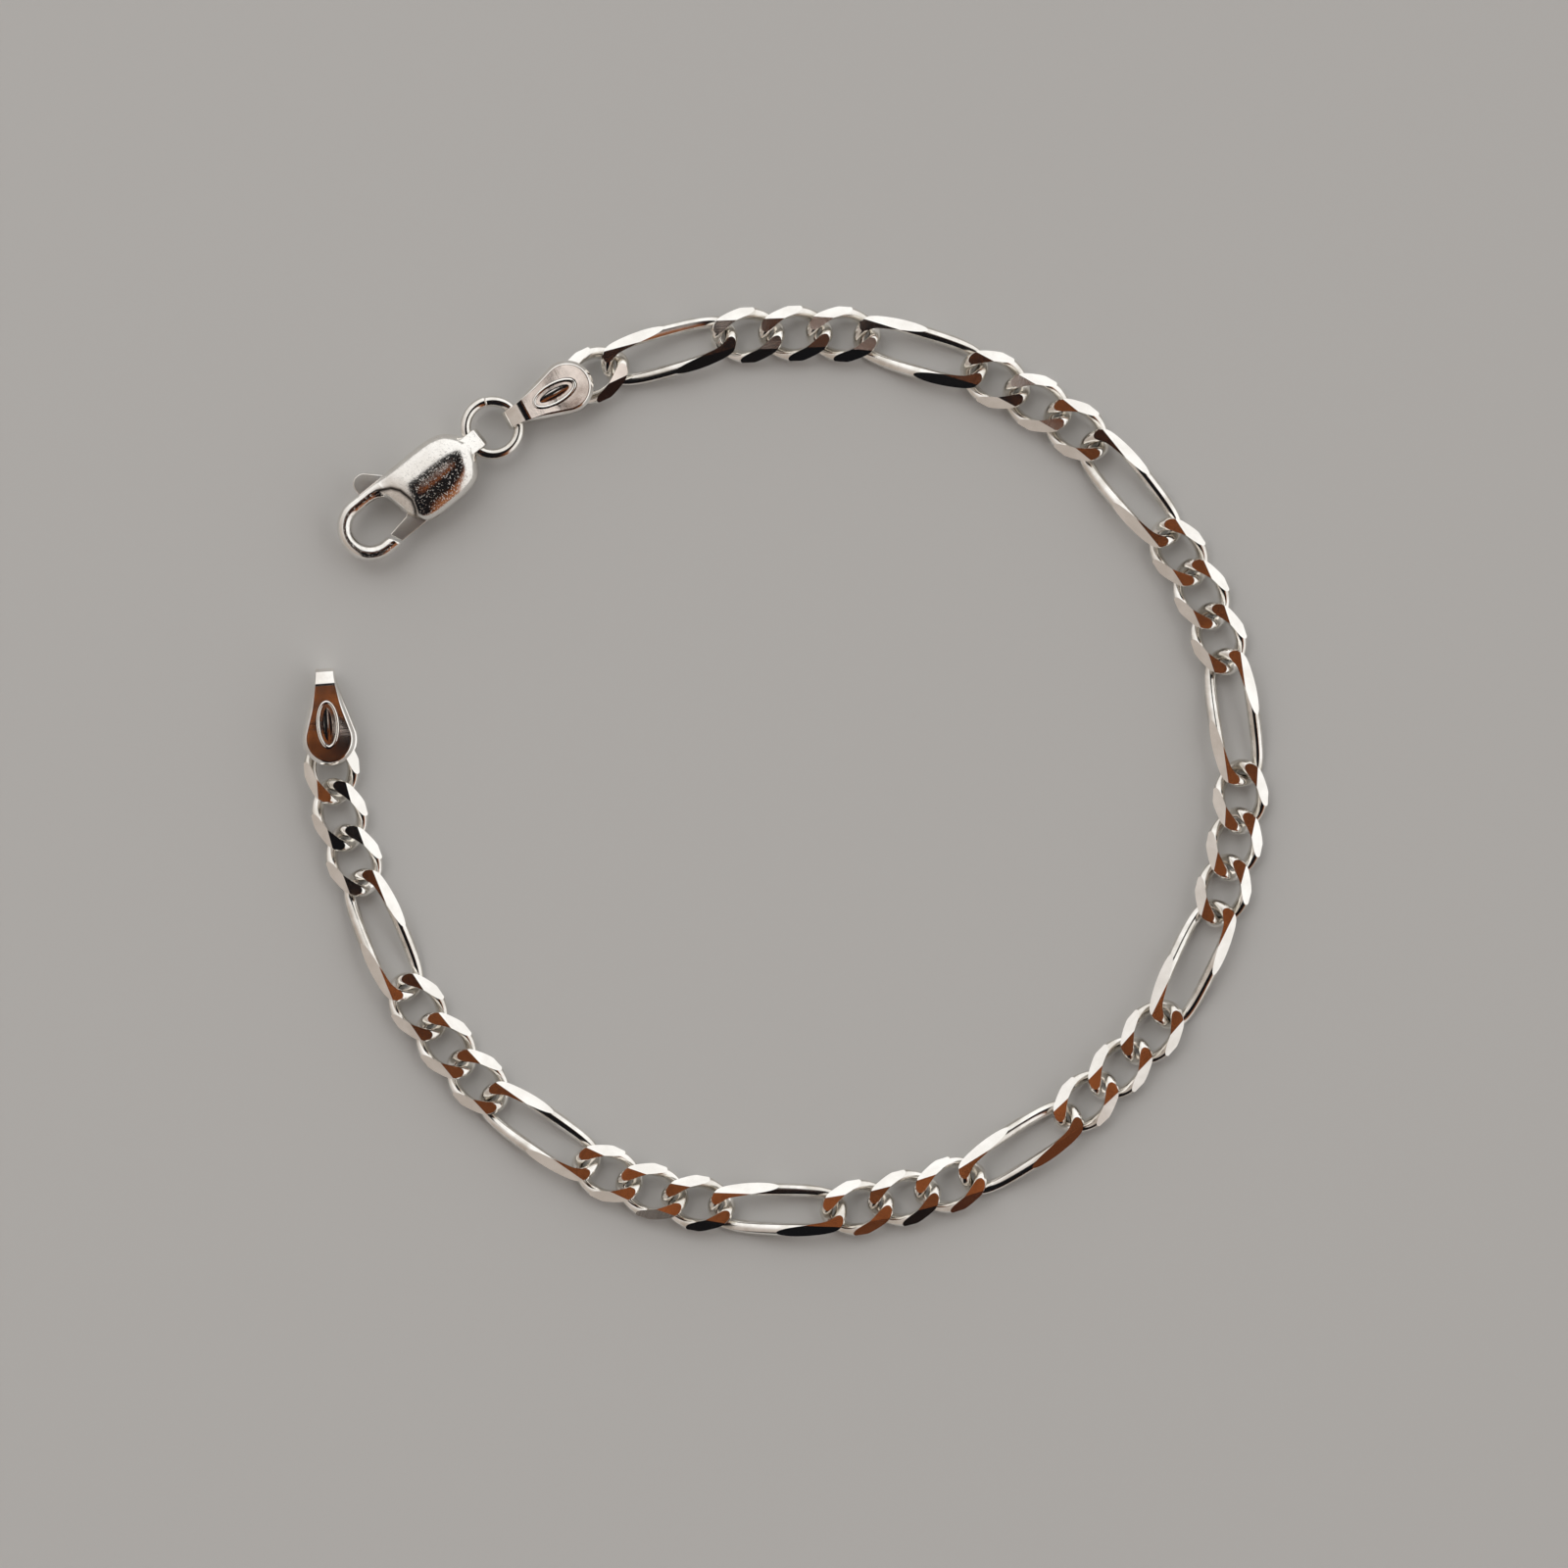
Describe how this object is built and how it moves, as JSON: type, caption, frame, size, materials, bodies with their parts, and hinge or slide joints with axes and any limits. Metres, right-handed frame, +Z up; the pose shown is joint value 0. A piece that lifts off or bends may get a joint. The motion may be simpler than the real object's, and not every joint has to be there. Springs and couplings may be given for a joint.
{
  "type": "link bracelet",
  "caption": "Open chain bracelet of twisted oval links, short ones between long ones, with folded end tags, a jump ring and a lobster clasp whose sprung lever opens.",
  "frame": {"origin": "middle of the laid bracelet's outline, on the surface that it lies on", "axes": "+Z up from the surface, +Y towards the top of the picture, +X towards its right edge; the bracelet lies open on the surface, its gap towards -X and its clasp at -X +Y"},
  "size_m": [0.0676, 0.0652, 0.0031],
  "materials": {
    "link": "polished sterling silver, faces cut flat and bright",
    "tag": "polished sterling silver strip, folded and stamped",
    "ring": "polished sterling silver wire",
    "clasp": "cast and polished sterling silver",
    "lever": "polished sterling silver plate",
    "pin": "polished sterling silver wire"
  },
  "bodies": {
    "bracelet": {"link_01": "link", "link_02": "link", "link_03": "link", "link_04": "link", "link_05": "link", "link_06": "link", "link_07": "link", "link_08": "link", "link_09": "link", "link_10": "link", "link_11": "link", "link_12": "link", "link_13": "link", "link_14": "link", "link_15": "link", "link_16": "link", "link_17": "link", "link_18": "link", "link_19": "link", "link_20": "link", "link_21": "link", "link_22": "link", "link_23": "link", "link_24": "link", "link_25": "link", "link_26": "link", "link_27": "link", "link_28": "link", "link_29": "link", "link_30": "link", "link_31": "link", "link_32": "link", "link_33": "link", "link_34": "link", "link_35": "link", "link_36": "link", "link_37": "link", "start_tag": "tag", "end_tag": "tag", "jump_ring": "ring", "clasp_body": "clasp", "lever_pin": "pin"},
    "lever": {"clasp_lever": "lever"}
  },
  "joints": [
    {"name": "lever_hinge", "type": "hinge", "parent": "bracelet", "child": "lever", "pos_m": [-0.02485, 0.01879, 0.00155], "axis": [0, 0, 1], "range_deg": [-25, 0], "stiffness_Nm_per_rad": 0.004, "springref_deg": 20.05}
  ]
}
